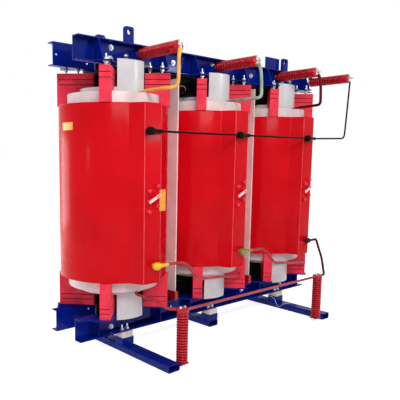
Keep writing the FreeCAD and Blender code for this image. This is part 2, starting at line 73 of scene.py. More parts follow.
# Materials
# tones: both ends of the colour. mottle: size of its slow change. coat: how much of one, and its roughness.
# bumps: size and height of each layer, coarse to fine. Sizes are real millimetres.
# A finish without an ior, a coat or metallic keeps Blender's own: 1.5, none and none.
usualFinish = {"spread": 0.08, "specular": 0.4}
sleeving = {"mottle": 70, "roughness": 0.5, "bumps": ((30, 0.25), (1.5, 0.05)), "ior": 1.45}
dippedVinyl = {"mottle": 25, "roughness": 0.38, "spread": 0.06, "bumps": ((14, 0.15), (1.2, 0.03))}
laminate = {"mottle": 90, "spread": 0.06, "bumps": ((120, 0.25), (1.5, 0.03))}
finishes = {
    # Pigmented epoxy cast under vacuum in a polished mould: deep, wet-looking red with slow ripples
    "winding_resin": {
        "name": "castEpoxyRed", "tones": ("#DB0A1A", "#CE0514"), "mottle": 240, "roughness": 0.27,
        "spread": 0.02, "bumps": ((420, 0.03), (1.2, 0.004)), "coat": (0.08, 0.12), "ior": 1.55,
        "specular": 0.03},
    # Moulded dough compound: brighter, drier red with a soft sheen
    "block_resin": {
        "name": "mouldedCompoundCoral", "tones": ("#F93E55", "#EE3249"), "mottle": 45, "roughness": 0.46,
        "bumps": ((40, 0.12), (1.6, 0.05)), "coat": (0.06, 0.3), "specular": 0.15},
    # Filament wound glass and epoxy: warm white tinted pink by a painted reflection of the red coils, with
    # faint turns
    "white_resin": {
        "name": "woundGlassEpoxyWhite", "tones": ("#EADADA", "#DCCCCC"), "mottle": 60, "roughness": 0.42,
        "lines": (7.0, 0.05, "Z"), "bumps": ((60, 0.15), (2.0, 0.06)), "coat": (0.15, 0.2), "specular": 0.3},
    # Pressed glass laminate sheet: cool white, half gloss
    "white_sheet": {
        **laminate, "name": "pressedLaminateWhite", "tones": ("#DADADC", "#CECED1"), "roughness": 0.34,
        "coat": (0.2, 0.12), "specular": 0.3},
    # The same laminate, uncoated and standing between the coils: paler and pinker than the plain sheet, with
    # painted bounce light and a painted reflection of the coils' red
    "board_sheet": {
        **laminate, "name": "pressedLaminateWarm", "tones": ("#FFECEC", "#F6DEDE"), "roughness": 0.4,
        "specular": 0.25},
    # Varnished silicon steel sheets on edge: near black with fine lines
    "core_steel": {
        "name": "varnishedLaminations", "tones": ("#08080A", "#030304"), "mottle": 30, "roughness": 0.5,
        "spread": 0.12, "lines": (3.0, 0.2, "Y"), "bumps": ((2.0, 0.05),), "specular": 0.12},
    # Pressboard: dull buff
    "insulation_sheet": {
        "name": "pressboardBuff", "tones": ("#D9CFB4", "#C9BD9F"), "mottle": 25, "roughness": 0.75,
        "spread": 0.06, "bumps": ((1.5, 0.08),), "ior": 1.45},
    # Sprayed gloss enamel on steel: deep blue with orange peel
    "blue_paint": {
        "name": "sprayedEnamelBlue", "tones": ("#06208A", "#031875"), "mottle": 130, "roughness": 0.28,
        "bumps": ((90, 0.5), (9.0, 0.05)), "coat": (0.2, 0.06), "specular": 0.03},
    # Bright zinc plate: pale, slightly cloudy metal
    "zinc_steel": {
        "name": "brightZincPlate", "tones": ("#D9DCE0", "#B7BCC3"), "mottle": 12, "roughness": 0.28,
        "spread": 0.1, "bumps": ((0.8, 0.01),), "metallic": 1.0},
    # Cast polyester block: matt cream
    "cream_block": {
        "name": "castPolyesterCream", "tones": ("#E9E2D4", "#DAD1BF"), "mottle": 30, "roughness": 0.6,
        "bumps": ((2.0, 0.07),), "specular": 0.3},
    # Moulded cycloaliphatic epoxy: dark glossy red, with painted shade darker down in the grooves
    "insulator_resin": {
        "name": "mouldedEpoxyDarkRed", "tones": ("#CC1226", "#B60C1E"), "groove": "#3C0208", "mottle": 40,
        "roughness": 0.3, "spread": 0.06, "bumps": ((30, 0.06), (1.0, 0.02)), "coat": (0.4, 0.12),
        "specular": 0.06},
    # Extruded silicone sleeving: soft satin
    "yellow_sleeve": {**sleeving, "name": "extrudedSleeveYellow", "tones": ("#F6C163", "#EBA744")},
    "green_sleeve": {**sleeving, "name": "extrudedSleeveGreen", "tones": ("#A7BDA9", "#7B937F")},
    "dark_red_sleeve": {
        **sleeving, "name": "extrudedSleeveDarkRed", "tones": ("#5E0C1A", "#400712"), "roughness": 0.45,
        "specular": 0.15},
    "red_sleeve": {
        **sleeving, "name": "extrudedSleeveRed", "tones": ("#C23E42", "#A42A30"), "roughness": 0.48,
        "specular": 0.3},
    "pink_sleeve": {
        **sleeving, "name": "shrunkSleevePink", "tones": ("#B94C5C", "#963A48"), "mottle": 80,
        "roughness": 0.42, "bumps": ((40, 0.15), (1.5, 0.04)), "specular": 0.3},
    "black_sleeve": {
        "name": "shrunkSleeveBlack", "tones": ("#0A0709", "#040304"), "mottle": 40, "roughness": 0.42,
        "spread": 0.1, "bumps": ((18, 0.2), (1.2, 0.05)), "specular": 0.06},
    # Dipped vinyl boots: smooth, slightly waxy
    "yellow_boot": {**dippedVinyl, "name": "dippedVinylYellow", "tones": ("#F6CE22", "#EAB615")},
    "green_boot": {**dippedVinyl, "name": "dippedVinylGreen", "tones": ("#869E4C", "#687F38")},
    # Resin cast round the tap inserts: as the coil, a little brighter
    "tap_resin": {
        "name": "castEpoxyTap", "tones": ("#E6243A", "#D4182C"), "mottle": 18, "roughness": 0.26,
        "spread": 0.05, "bumps": ((1.0, 0.02),), "coat": (0.5, 0.08), "ior": 1.55, "specular": 0.2},
    # Rolled and tinned copper bar: soft silver with a painted pink reflection of the red coils
    "link_metal": {
        "name": "tinnedCopperBar", "tones": ("#F0DAD6", "#DCC4C0"), "mottle": 10, "roughness": 0.3,
        "spread": 0.1, "bumps": ((0.8, 0.012),), "metallic": 1.0},
    # Printed plastic plate left blank: warm yellow
    "yellow_plate": {
        "name": "plasticPlateYellow", "tones": ("#F4AC42", "#E89B34"), "mottle": 40, "roughness": 0.5,
        "spread": 0.06, "bumps": ((1.5, 0.02),)},
    # Painted shade: dark strips laid in the grooves between the layers of a block
    "seam": {
        "name": "resinBleedDark", "tones": ("#7C0814", "#5C040C"), "mottle": 30, "roughness": 0.5,
        "bumps": ((1.5, 0.03),), "specular": 0.1},
    # Painted highlight along the boss edges: paler red
    "flash": {
        "name": "rubbedFlashRed", "tones": ("#F06674", "#E04C5A"), "mottle": 60, "roughness": 0.4,
        "bumps": ((6, 0.1), (1.2, 0.02)), "specular": 0.3},
    # Moulded nylon clip: glossy red
    "clip_plastic": {
        "name": "mouldedNylonRed", "tones": ("#C01022", "#A80B1B"), "mottle": 25, "roughness": 0.35,
        "spread": 0.06, "bumps": ((1.2, 0.03),), "coat": (0.2, 0.15), "ior": 1.53, "specular": 0.25},
    # Film label left blank: bright yellow
    "label": {
        "name": "filmLabelYellow", "tones": ("#F4C24C", "#EAB23C"), "mottle": 30, "roughness": 0.4,
        "spread": 0.05, "bumps": ((1.5, 0.01),)},
    # Thin vinyl insulation: milky white
    "white_wire": {
        "name": "extrudedVinylWhite", "tones": ("#D8D8DC", "#BEBEC4"), "mottle": 20, "roughness": 0.45,
        "spread": 0.05, "bumps": ((1.0, 0.02),)},
}

# How much of each noise's range is used, its detail, and the wave bands to one unit of scale
pattern = {"mottleRange": {"From Min": 0.35, "From Max": 0.65}, "mottleDetail": 4.0,
           "smearRange": {"From Min": 0.3, "From Max": 0.7}, "smearDetail": 5.0, "smearFiner": 3,
           "bumpDetail": 2.0, "bandsToScale": 3.2, "bandWobble": 0.4}
plainSockets = {"metallic": "Metallic", "ior": "IOR", "specular": "Specular IOR Level"}


def makeMaterial(finish):
    finish = {**usualFinish, **finish}
    material = bpy.data.materials.new(finish["name"])
    material.use_nodes = True
    tree = material.node_tree
    shader = tree.nodes["Principled BSDF"]
    place = addNode(tree, "ShaderNodeTexCoord").outputs["Object"]
    mottle = addNode(tree, "ShaderNodeTexNoise",
                     {"Vector": place, "Scale": 1 / (finish["mottle"] * mm), "Detail": pattern["mottleDetail"]})
    share = addNode(tree, "ShaderNodeMapRange", {"Value": mottle, **pattern["mottleRange"]})
    light, dark = [linear(tone) for tone in finish["tones"]]
    tint = addNode(tree, "ShaderNodeMix", {0: share, 6: dark, 7: light}, data_type="RGBA")
    colour = tint.outputs[2]
    # Painted shade: the colour darkens down in the grooves, by the depth the insulator tree stores
    if "groove" in finish:
        depth = addNode(tree, "ShaderNodeAttribute", attribute_name="grooveShade")
        shadedInGrooves = addNode(tree, "ShaderNodeMix",
                       {0: depth.outputs["Fac"], 6: colour, 7: linear(finish["groove"])}, data_type="RGBA")
        colour = shadedInGrooves.outputs[2]
    tree.links.new(colour, shader.inputs["Base Color"])
    smear = addNode(tree, "ShaderNodeTexNoise",
                    {"Vector": place, "Scale": pattern["smearFiner"] / (finish["mottle"] * mm),
                     "Detail": pattern["smearDetail"]})
    gloss = addNode(tree, "ShaderNodeMapRange",
                    {"Value": smear, **pattern["smearRange"],
                     "To Min": finish["roughness"] - finish["spread"],
                     "To Max": finish["roughness"] + finish["spread"]})
    tree.links.new(gloss.outputs["Result"], shader.inputs["Roughness"])
    heights = []
    if "lines" in finish:
        pitch, depth, direction = finish["lines"]
        # Real sheets are 0.3 mm thick and real turns 1 mm wide, drawn coarser so that they show
        bands = addNode(tree, "ShaderNodeTexWave",
                        {"Vector": place, "Scale": 1 / (pitch * mm * pattern["bandsToScale"]),
                         "Distortion": pattern["bandWobble"]}, wave_type="BANDS", bands_direction=direction)
        heights.append((bands.outputs["Fac"], depth))
    for size, height in finish["bumps"]:
        noise = addNode(tree, "ShaderNodeTexNoise",
                        {"Vector": place, "Scale": 1 / (size * mm), "Detail": pattern["bumpDetail"]})
        heights.append((noise, height))
    bump = None
    for level, height in heights:
        inputs = {"Height": level, "Strength": 1.0, "Distance": height * mm}
        if bump:
            inputs["Normal"] = bump
        bump = addNode(tree, "ShaderNodeBump", inputs)
    tree.links.new(bump.outputs["Normal"], shader.inputs["Normal"])
    for key, socket in plainSockets.items():
        if key in finish:
            shader.inputs[socket].default_value = finish[key]
    if "coat" in finish:
        weight, roughness = finish["coat"]
        shader.inputs["Coat Weight"].default_value = weight
        shader.inputs["Coat Roughness"].default_value = roughness
    material.diffuse_color = light
    return material


materials = {slot: makeMaterial(finish) for slot, finish in finishes.items()}
slotOf = {row["node"]: row["material_slot"] for row in frame["record"]["subparts"]}
print("materials:", len(materials))


# Common steps
mergeDistance = 0.01
routeShape = {"order": 3, "stepsPerPoint": 16}


def newObject(name, data):
    made = bpy.data.objects.new(name, data)
    bpy.context.scene.collection.objects.link(made)
    return made


def meshFrom(work):
    mesh = bpy.data.meshes.new("shape")
    work.to_mesh(mesh)
    work.free()
    return mesh


def addPiece(name, shape, slot, replaced=(), sharpAngle=40):
    # The shape is one mesh, or a list of meshes that become one
    mesh = shape
    if isinstance(shape, list):
        work = bmesh.new()
        for part in shape:
            work.from_mesh(part)
        mesh = meshFrom(work)
    mesh.name = name
    mesh.materials.clear()
    mesh.materials.append(materials[slot])
    mesh.shade_smooth()
    mesh.set_sharp_from_angle(angle=math.radians(sharpAngle))
    piece = newObject(name, mesh)
    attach(piece, "root")
    if replaced:
        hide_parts(*replaced)
    return piece


def pieceName(nodeName, ending):
    first, *others = nodeName.split("_")
    return first + "".join(word.capitalize() for word in others) + ending


def mergedCopy(nodeName):
    work = bmesh.new()
    work.from_mesh(nodes[nodeName].data)
    bmesh.ops.remove_doubles(work, verts=work.verts, dist=mergeDistance * mm)
    return work


def looseParts(nodeName):
    # Low corner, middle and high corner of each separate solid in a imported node
    work = mergedCopy(nodeName)
    seen = set()
    parts = []
    for vert in work.verts:
        if vert in seen:
            continue
        seen.add(vert)
        group = [vert]
        for member in group:
            for edge in member.link_edges:
                other = edge.other_vert(member)
                if other not in seen:
                    seen.add(other)
                    group.append(other)
        low = Vector([min(v.co[i] for v in group) for i in range(3)])
        high = Vector([max(v.co[i] for v in group) for i in range(3)])
        parts.append((low, (low + high) / 2, high))
    work.free()
    return parts


def newTree(name, sockets):
    # sockets: the inputs' names, by kind. take: the inputs, to which a tree adds its results by name
    tree = bpy.data.node_groups.new(name, "GeometryNodeTree")
    for kind, labels in sockets.items():
        for label in labels:
            tree.interface.new_socket(name=label, in_out="INPUT", socket_type="NodeSocket" + kind)
    tree.interface.new_socket(name="Geometry", in_out="OUTPUT", socket_type="NodeSocketGeometry")
    source = tree.nodes.new("NodeGroupInput")
    target = tree.nodes.new("NodeGroupOutput")
    take = {socket.name: socket for socket in source.outputs if socket.name}
    return tree, take, target


def finishTree(tree, take, target, geometry):
    real = addNode(tree, "GeometryNodeRealizeInstances", {"Geometry": geometry})
    painted = addNode(tree, "GeometryNodeSetMaterial", {"Geometry": real, "Material": take["Material"]})
    tree.links.new(painted.outputs[0], target.inputs[0])


def dots(points, edges=()):
    mesh = bpy.data.meshes.new("dots")
    mesh.from_pydata([tuple(p) for p in points], list(edges), [])
    return mesh


def smoothRoute(points):
    # One NURBS line through the route's control points, given in millimetres
    data = bpy.data.curves.new("route", "CURVE")
    data.dimensions = "3D"
    data.resolution_u = routeShape["stepsPerPoint"]
    spline = data.splines.new("NURBS")
    spline.points.add(len(points) - 1)
    for point, spot in zip(spline.points, points):
        point.co = (*[value * mm for value in spot], 1)
    spline.order_u = routeShape["order"]
    spline.use_endpoint_u = True
    return data


def plainMesh(carrier):
    # What a carrier's modifiers make of it
    bpy.context.view_layer.update()
    evaluated = carrier.evaluated_get(bpy.context.evaluated_depsgraph_get())
    result = bpy.data.meshes.new_from_object(evaluated)
    bpy.data.objects.remove(carrier)
    return result


def bakeTree(tree, slot, sizes, data, others=None):
    # Runs a tree on a carrier made from the data. Sizes are in millimetres, and the other inputs as they are.
    values = {label: size * mm for label, size in sizes.items()}
    values.update(others or {}, Material=materials[slot])
    carrier = newObject(tree.name + "Carrier", data)
    modifier = carrier.modifiers.new("build", "NODES")
    modifier.node_group = tree
    for item in tree.interface.items_tree:
        if item.in_out == "INPUT" and item.name in values:
            modifier[item.identifier] = values[item.name]
    return plainMesh(carrier)


def roundBar(radius, start, end, sides=24):
    # A plain round bar between two points, in millimetres
    start, end = Vector(start) * mm, Vector(end) * mm
    along = end - start
    work = bmesh.new()
    bmesh.ops.create_cone(work, cap_ends=True, segments=sides, radius1=radius * mm, radius2=radius * mm,
                          depth=along.length)
    turn = along.to_track_quat("Z", "Y").to_matrix().to_4x4()
    bmesh.ops.transform(work, matrix=Matrix.Translation((start + end) / 2) @ turn, verts=work.verts)
    return meshFrom(work)


def sweep(tree, curve, radius, sides):
    # Inside a tree: a round bar along the curve, as thick at each point as the radius says
    ring = addNode(tree, "GeometryNodeCurvePrimitiveCircle", {"Resolution": sides, "Radius": 1.0})
    return addNode(tree, "GeometryNodeCurveToMesh",
                  {"Curve": curve, "Profile Curve": ring, "Scale": radius, "Fill Caps": True})


# Turned piece: a round or six-sided bar with both rims chamfered, standing on the origin
def makeTurnedTree():
    tree, take, target = newTree("turnedPiece", {"Float": ["Height", "Radius", "Chamfer"], "Int": ["Sides"]})
    # Four points: the narrowed ends, and the full width where each chamfer stops
    line = addNode(tree, "GeometryNodeMeshLine", {"Count": 4, "Offset": (0, 0, 1)})
    curve = addNode(tree, "GeometryNodeMeshToCurve", {"Mesh": line})
    take["number"] = addNode(tree, "GeometryNodeInputIndex")
    # Each row is a result's name, how it is worked out, and from what
    for label, operation, *terms in (
            ("upper", "GREATER_THAN", "number", 1.5), ("centred", "SUBTRACT", "number", 1.5),
            ("distance", "ABSOLUTE", "centred"), ("at end", "GREATER_THAN", "distance", 1.0),
            ("inner", "SUBTRACT", 1.0, "at end"), ("side", "MULTIPLY_ADD", "upper", -2.0, 1.0),
            ("inset", "MULTIPLY", "inner", "Chamfer"), ("shift", "MULTIPLY", "inset", "side"),
            ("level", "MULTIPLY_ADD", "upper", "Height", "shift"), ("cut", "MULTIPLY", "at end", "Chamfer"),
            ("radius", "SUBTRACT", "Radius", "cut")):
        inputs = {i: take.get(term, term) for i, term in enumerate(terms)}
        take[label] = addNode(tree, "ShaderNodeMath", inputs, operation=operation)
    spot = addNode(tree, "ShaderNodeCombineXYZ", {"Z": take["level"]})
    placed = addNode(tree, "GeometryNodeSetPosition", {"Geometry": curve, "Position": spot})
    bar = sweep(tree, placed, take["radius"], take["Sides"])
    tree.links.new(bar.outputs[0], target.inputs[0])
    return tree


turnedTree = makeTurnedTree()

# Fasteners: washer, six-sided nut and stud end on every point, all turned the same way.
# Each part has its chamfer and its number of sides.
turnedParts = {"Washer": (0.4, 28), "Nut": (1.1, 6), "Stud": (1.2, 16)}


def addTurned(tree, take, part, level):
    chamfer, sides = turnedParts[part]
    piece = addNode(tree, "GeometryNodeGroup",
                    {"Height": take[part + " Height"], "Radius": take[part + " Radius"],
                     "Chamfer": chamfer * mm, "Sides": sides}, node_tree=turnedTree)
    spot = addNode(tree, "ShaderNodeCombineXYZ", {"Z": level})
    moved = addNode(tree, "GeometryNodeTransform", {"Geometry": piece, "Translation": spot})
    return moved.outputs[0]


def makeFastenerTree():
    tree, take, target = newTree("threadedFastener", {
        "Geometry": ["Geometry"], "Rotation": ["Turn"], "Material": ["Material"],
        "Float": [f"{part} {word}" for part in turnedParts for word in ("Radius", "Height")]})
    nutTop = addNode(tree, "ShaderNodeMath", {0: take["Washer Height"], 1: take["Nut Height"]}, operation="ADD")
    joined = addNode(tree, "GeometryNodeJoinGeometry")
    for part, level in (("Washer", 0.0), ("Nut", take["Washer Height"]), ("Stud", nutTop)):
        tree.links.new(addTurned(tree, take, part, level), joined.inputs[0])
    spread = addNode(tree, "GeometryNodeInstanceOnPoints",
                     {"Points": take["Geometry"], "Instance": joined, "Rotation": take["Turn"]})
    finishTree(tree, take, target, spread)
    return tree


fastenerTree = makeFastenerTree()
towardFront = (math.radians(90), 0, 0)
towardRear = (math.radians(-90), 0, 0)
upward = (0, 0, 0)
downward = (math.radians(180), 0, 0)

# Radius and height of each part
webBolt = {"Washer": (15, 2.5), "Nut": (11, 8), "Stud": (6, 5)}
underNut = {**webBolt, "Stud": (6, 12.5)}
footNut = {"Washer": (15, 3), "Nut": (11, 9), "Stud": (6, 20)}
topNut = {**footNut, "Washer": (17, 3)}
smallBolt = {"Washer": (6.5, 1.2), "Nut": (5, 4), "Stud": (2.6, 3)}
smallBoltPlaces = ((986, 1599), (795, 1573), (794, 205))
shortStud = 12  # The studs' upper ends are shorter than this, and their lower ends longer


def bakeFasteners(points, turn, parts):
    sizes = {f"{part} {word}": size for part, pair in parts.items()
             for word, size in zip(("Radius", "Height"), pair)}
    return bakeTree(fastenerTree, "zinc_steel", sizes, dots(points), {"Turn": turn})


def addWebBolts():
    bolts = looseParts("clamp_bolts")
    front = [(middle.x, high.y, middle.z) for low, middle, high in bolts if middle.y < 0]
    rear = [(middle.x, low.y, middle.z) for low, middle, high in bolts if middle.y >= 0]
    meshes = [bakeFasteners(front, towardFront, webBolt), bakeFasteners(rear, towardRear, webBolt)]
    addPiece("clampBoltHeads", meshes, "zinc_steel", ["clamp_bolts"])


def addBlockStuds():
    studs = looseParts("block_studs")
    above = [(middle.x, middle.y, low.z) for low, middle, high in studs if high.z - low.z < shortStud * mm]
    below = [(middle.x, middle.y, high.z) for low, middle, high in studs if high.z - low.z >= shortStud * mm]
    meshes = [bakeFasteners(above, upward, topNut), bakeFasteners(below, downward, underNut)]
    addPiece("blockStudsThreaded", meshes, "zinc_steel", ["block_studs"])


def addFootStuds():
    points = [(middle.x, middle.y, low.z) for low, middle, high in looseParts("foot_studs")
              if high.z - low.z < shortStud * mm]
    addPiece("footStudsThreaded", bakeFasteners(points, upward, footNut), "zinc_steel", ["foot_studs"])


def addSmallBolts():
    # On the rear webs' near faces, beside the ends of the core
    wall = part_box("upper_rear_beam")[0].y
    points = [(side * x * mm, wall, z * mm) for side in (-1, 1) for x, z in smallBoltPlaces]
    addPiece("smallWebBolts", bakeFasteners(points, towardFront, smallBolt), "zinc_steel")


addWebBolts()
addSmallBolts()
addBlockStuds()
addFootStuds()
print("fasteners placed")


# Ribbed insulators: a bar whose radius follows a row of rounded ribs between two plain caps.
# Rib Share is how much of each step from rib to rib the rib takes up.
insulatorFineness = {"stepsPerRib": 16, "sides": 40}


def makeInsulatorTree():
    tree, take, target = newTree("ribbedInsulator", {
        "Float": ["Length", "Rib Radius", "Groove Depth", "Squareness", "Rib Share", "Foot Length",
                  "Cap Length", "Edge Round"],
        "Int": ["Ribs"], "Material": ["Material"]})
    tip = addNode(tree, "ShaderNodeCombineXYZ", {"Z": take["Length"]})
    line = addNode(tree, "GeometryNodeCurvePrimitiveLine", {"End": tip})
    steps = addNode(tree, "ShaderNodeMath",
                    {0: take["Ribs"], 1: insulatorFineness["stepsPerRib"]}, operation="MULTIPLY")
    fine = addNode(tree, "GeometryNodeResampleCurve", {"Curve": line, "Count": steps})
    take["along"] = addNode(tree, "GeometryNodeSplineParameter").outputs["Length"]
    # Rows as in the turned piece
    for label, operation, *terms in (
            ("bare", "ADD", "Foot Length", "Cap Length"), ("ribbed", "SUBTRACT", "Length", "bare"),
            ("past foot", "SUBTRACT", "along", "Foot Length"), ("share", "DIVIDE", "past foot", "ribbed"),
            ("turn", "MULTIPLY", "share", "Ribs"), ("phase", "FRACT", "turn"),
            ("swing", "MULTIPLY_ADD", "phase", 2.0, -1.0), ("off middle", "ABSOLUTE", "swing"),
            ("spread", "DIVIDE", "off middle", "Rib Share"), ("across", "MINIMUM", "spread", 1.0),
            ("steep", "POWER", "across", "Squareness"), ("flank", "SUBTRACT", 1.0, "steep"),
            ("hill", "SQRT", "flank"), ("valley", "SUBTRACT", 1.0, "hill"),
            ("after foot", "GREATER_THAN", "turn", 0.0), ("before cap", "LESS_THAN", "turn", "Ribs"),
            ("within", "MULTIPLY", "after foot", "before cap"), ("shade", "MULTIPLY", "valley", "within"),
            ("dip", "MULTIPLY", "valley", "Groove Depth"), ("groove", "MULTIPLY", "dip", "within"),
            ("to go", "SUBTRACT", "Length", "along"), ("to end", "MINIMUM", "along", "to go"),
            ("short", "SUBTRACT", "Edge Round", "to end"), ("missing", "MAXIMUM", "short", 0.0),
            ("whole square", "MULTIPLY", "Edge Round", "Edge Round"),
            ("lost square", "MULTIPLY", "missing", "missing"),
            ("left", "SUBTRACT", "whole square", "lost square"), ("rise", "SQRT", "left"),
            ("drop", "SUBTRACT", "Edge Round", "rise"),
            ("ribs only", "SUBTRACT", "Rib Radius", "groove"), ("radius", "SUBTRACT", "ribs only", "drop")):
        inputs = {i: take.get(term, term) for i, term in enumerate(terms)}
        take[label] = addNode(tree, "ShaderNodeMath", inputs, operation=operation)
    # The material reads how deep each point lies, and paints shade into the grooves by it
    marked = addNode(tree, "GeometryNodeStoreNamedAttribute",
                     {"Geometry": fine, "Name": "grooveShade", "Value": take["shade"]},
                     data_type="FLOAT", domain="POINT")
    bar = sweep(tree, marked, take["radius"], insulatorFineness["sides"])
    finishTree(tree, take, target, bar)
    return tree


insulatorTree = makeInsulatorTree()
standingInsulator = {"Rib Radius": 30.9, "Groove Depth": 11, "Foot Length": 6, "Cap Length": 22,
                     "Edge Round": 3}
standingRibs = {"Ribs": 18, "Squareness": 2.3, "Rib Share": 1.0}
lyingInsulator = {**standingInsulator, "Foot Length": 10, "Cap Length": 46, "Edge Round": 4}
lyingRibs = {**standingRibs, "Ribs": 17, "Rib Share": 0.72}

postAxes = {"left_post": -621, "right_post": 617}
postJoint = {"y": -505, "z": 302, "collarRadius": 9, "collarStart": 20, "collarEnd": 35}
leftWay = Vector((-20, 74, -6)).normalized()
collarWays = {"left_post": (leftWay, Vector((1, 0, 0))), "right_post": (Vector((1, 0, 0)), Vector((-1, 0, 0)))}


def addInsulator(nodeName, sizes, ribs, length, place, extra=()):
    mesh = bakeTree(insulatorTree, "insulator_resin", sizes, dots([(0, 0, 0)]), {**ribs, "Length": length})
    mesh.transform(place)
    addPiece(pieceName(nodeName, "Ribbed"), [mesh, *extra], "insulator_resin", [nodeName])


def addPosts():
    for nodeName, axisX in postAxes.items():
        low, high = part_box(nodeName)
        joint = Vector((axisX, postJoint["y"], postJoint["z"]))
        collars = [roundBar(postJoint["collarRadius"], joint + way * postJoint["collarStart"],
                            joint + way * postJoint["collarEnd"]) for way in collarWays[nodeName]]
        place = Matrix.Translation((joint.x * mm, joint.y * mm, low.z))
        addInsulator(nodeName, standingInsulator, standingRibs, high.z - low.z, place, collars)


def addBushings():
    turn = Euler(towardFront).to_matrix().to_4x4()
    for nodeName in ("bushing_1", "bushing_2", "bushing_3", "bushing_4"):
        low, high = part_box(nodeName)
        axis = (low + high) / 2
        place = Matrix.Translation((axis.x, high.y, axis.z)) @ turn
        addInsulator(nodeName, lyingInsulator, lyingRibs, high.y - low.y, place)


addPosts()
addBushings()
print("insulators ribbed")


# Sleeved leads: a smooth line that starts as a narrow crimped tip and swells over the lug at its end
leadSides = 18


def makeLeadTree():
    tree, take, target = newTree("sleevedLead", {
        "Geometry": ["Geometry"], "Material": ["Material"],
        "Float": ["Radius", "Tip Share", "Tip Length", "End Share", "End Length", "Ring Step"]})
    fine = addNode(tree, "GeometryNodeResampleCurve",
                   {"Curve": take["Geometry"], "Length": take["Ring Step"]}, mode="LENGTH")
    along = addNode(tree, "GeometryNodeSplineParameter").outputs["Length"]
    whole = addNode(tree, "GeometryNodeSplineLength")
    toGo = addNode(tree, "ShaderNodeMath", {0: whole, 1: along}, operation="SUBTRACT")
    radius = take["Radius"]
    for end, distance in (("Tip", along), ("End", toGo)):
        share = addNode(tree, "ShaderNodeMapRange",
                        {"Value": distance, "From Max": take[end + " Length"], "To Min": take[end + " Share"],
                         "To Max": 1.0}, interpolation_type="SMOOTHSTEP")
        radius = addNode(tree, "ShaderNodeMath", {0: share, 1: radius}, operation="MULTIPLY")
    finishTree(tree, take, target, sweep(tree, fine, radius, leadSides))
    return tree


leadTree = makeLeadTree()
phaseLeads = {
    "phaseLeadYellow": {
        "node": "phase_lead_a",
        "route": ((-663, -194, 1412.6), (-660, -396, 1415), (-614, -424, 1420), (-597, -424, 1452),
                  (-598, -420, 1592), (-578, -413, 1611))},
    "phaseLeadGreen": {
        "node": "phase_lead_b",
        "route": ((20, -194, 1412.6), (34, -398, 1415), (48, -430, 1420), (55, -430, 1452),
                  (50, -424, 1592), (36, -413, 1611))},
    "phaseLeadRed": {
        "node": "phase_lead_c",
        "route": ((703, -194, 1412.6), (676, -396, 1417), (670, -428, 1424), (673, -428, 1456),
                  (668, -424, 1592), (648, -413, 1611))},
}
phaseLeadSizes = {"Radius": 9, "Tip Length": 80, "End Length": 60, "Ring Step": 4}
phaseLeadShares = {"Tip Share": 0.4, "End Share": 1.22}

# The black lead links the upper boots and ends at the last bushing
neutralRoutes = (
    ((-669, -383, 1203), (-376, -383, 1201), (-84, -383, 1203)),
    ((14, -383, 1203), (306, -383, 1201), (599, -383, 1203)),
    ((697, -383, 1203), (972, -399, 1211), (1034, -402, 1213), (1042, -403, 1276), (1057, -411, 1611)))
neutralSizes = {"Radius": 5.6, "Tip Length": 1, "End Length": 30, "Ring Step": 5}

# Thin wires, held at both ends
thinWires = {
    "footWire": {
        "radius": 1.5,
        "route": ((588, -120, 111), (600, -128, 95), (625, -150, 84), (648, -160, 62), (648, -168, 26),
                  (652, -195, 14), (655, -215, 38), (668, -226, 43), (690, -234, 41.8), (716, -245, 41.8))},
    "upperWire": {
        "radius": 1.2,
        "route": ((-338, -148, 1474), (-310, -146, 1478), (-288, -145, 1478), (-274, -142, 1468),
                  (-268, -136, 1460), (-232, -90, 1462))},
}
wireSizes = {"Tip Length": 1, "End Length": 1, "Ring Step": 4}
wireShares = {"Tip Share": 1.0, "End Share": 1.0}


def bakeLead(route, sizes, shares, slot):
    return bakeTree(leadTree, slot, sizes, smoothRoute(route), shares)


def addLeads():
    for name, lead in phaseLeads.items():
        slot = slotOf[lead["node"]]
        addPiece(name, bakeLead(lead["route"], phaseLeadSizes, phaseLeadShares, slot), slot, [lead["node"]])
    for name, wire in thinWires.items():
        sizes = {"Radius": wire["radius"], **wireSizes}
        addPiece(name, bakeLead(wire["route"], sizes, wireShares, "white_wire"), "white_wire")
    meshes = [bakeLead(route, neutralSizes, wireShares, "black_sleeve") for route in neutralRoutes]
    addPiece("neutralLeadShrunk", meshes, "black_sleeve", ["neutral_lead"])


def addPostLeads():
    # The two leads of one node have different sleeves
    for name, side, slot in (("leftPostLead", -1, "red_sleeve"), ("rightPostLead", 1, "dark_red_sleeve")):
        work = mergedCopy("post_leads")
        others = [face for face in work.faces if face.calc_center_median().x * side < 0]
        bmesh.ops.delete(work, geom=others, context="FACES")
        addPiece(name, meshFrom(work), slot, ["post_leads"])


addLeads()
addPostLeads()
print("leads run")


# Crimped lugs: a palm under the nut of each insulator's stud, and a barrel down to the lead
lug = {"palmHalf": 9, "palmFront": -407, "palmBack": -404, "palmFoot": -12, "barrelRadius": 6.5,
       "barrelTop": -8, "barrelFoot": -22, "barrelY": -412, "arcSteps": 10}
lugOffsets = {"bushing_1": -3, "bushing_2": -3, "bushing_3": -3, "bushing_4": 0}
endStud = {"Washer": (10, 2), "Nut": (8.5, 6), "Stud": (4.5, 19)}


def palm(x, z):
    half = lug["palmHalf"]
    outline = [(x - half, z + lug["palmFoot"]), (x + half, z + lug["palmFoot"])]
    for i in range(lug["arcSteps"] + 1):
        angle = math.pi * i / lug["arcSteps"]
        outline.append((x + half * math.cos(angle), z + half * math.sin(angle)))
    work = bmesh.new()
    front = work.faces.new([work.verts.new((px * mm, lug["palmFront"] * mm, pz * mm)) for px, pz in outline])
    grown = bmesh.ops.extrude_face_region(work, geom=[front])
    moved = [item for item in grown["geom"] if isinstance(item, bmesh.types.BMVert)]
    bmesh.ops.translate(work, vec=(0, (lug["palmBack"] - lug["palmFront"]) * mm, 0), verts=moved)
    bmesh.ops.recalc_face_normals(work, faces=work.faces)
    return meshFrom(work)


